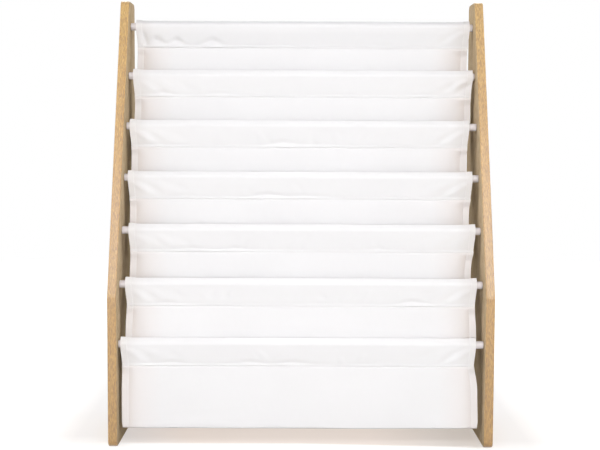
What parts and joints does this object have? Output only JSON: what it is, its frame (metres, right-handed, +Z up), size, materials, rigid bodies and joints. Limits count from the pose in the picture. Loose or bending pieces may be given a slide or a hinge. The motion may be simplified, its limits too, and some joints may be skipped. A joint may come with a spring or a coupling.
{
  "type": "sling bookshelf",
  "caption": "Child's sling bookshelf: slanted oak-look side panels joined by round steel tubes, with a white cloth sling hung on them in deep pockets.",
  "frame": {"origin": "on the floor, under the middle of the shelf's box", "axes": "+Z up, front towards -Y, +X towards the right of a viewer in front"},
  "size_m": [0.63, 0.248, 0.742],
  "materials": {
    "oak_board": "satin oak-look laminate",
    "white_steel": "smooth white powder coat",
    "zinc_steel": "bright zinc",
    "cloth": "matt white canvas"
  },
  "bodies": {
    "root": {"side_panel_left": "oak_board", "side_panel_right": "oak_board", "rod_1": "white_steel", "rod_insert_1_left": "zinc_steel", "bolt_1_left": "zinc_steel", "rod_insert_1_right": "zinc_steel", "bolt_1_right": "zinc_steel", "rod_2": "white_steel", "rod_insert_2_left": "zinc_steel", "bolt_2_left": "zinc_steel", "rod_insert_2_right": "zinc_steel", "bolt_2_right": "zinc_steel", "rod_3": "white_steel", "rod_insert_3_left": "zinc_steel", "bolt_3_left": "zinc_steel", "rod_insert_3_right": "zinc_steel", "bolt_3_right": "zinc_steel", "rod_4": "white_steel", "rod_insert_4_left": "zinc_steel", "bolt_4_left": "zinc_steel", "rod_insert_4_right": "zinc_steel", "bolt_4_right": "zinc_steel", "rod_5": "white_steel", "rod_insert_5_left": "zinc_steel", "bolt_5_left": "zinc_steel", "rod_insert_5_right": "zinc_steel", "bolt_5_right": "zinc_steel", "rod_6": "white_steel", "rod_insert_6_left": "zinc_steel", "bolt_6_left": "zinc_steel", "rod_insert_6_right": "zinc_steel", "bolt_6_right": "zinc_steel", "rod_7": "white_steel", "rod_insert_7_left": "zinc_steel", "bolt_7_left": "zinc_steel", "rod_insert_7_right": "zinc_steel", "bolt_7_right": "zinc_steel", "rod_sleeve_1": "cloth", "rod_sleeve_2": "cloth", "rod_sleeve_3": "cloth", "rod_sleeve_4": "cloth", "rod_sleeve_5": "cloth", "rod_sleeve_6": "cloth", "rod_sleeve_7": "cloth", "sling_pocket_1": "cloth", "sling_pocket_2": "cloth", "sling_pocket_3": "cloth", "sling_pocket_4": "cloth", "sling_pocket_5": "cloth", "sling_pocket_6": "cloth"}
  },
  "joints": []
}
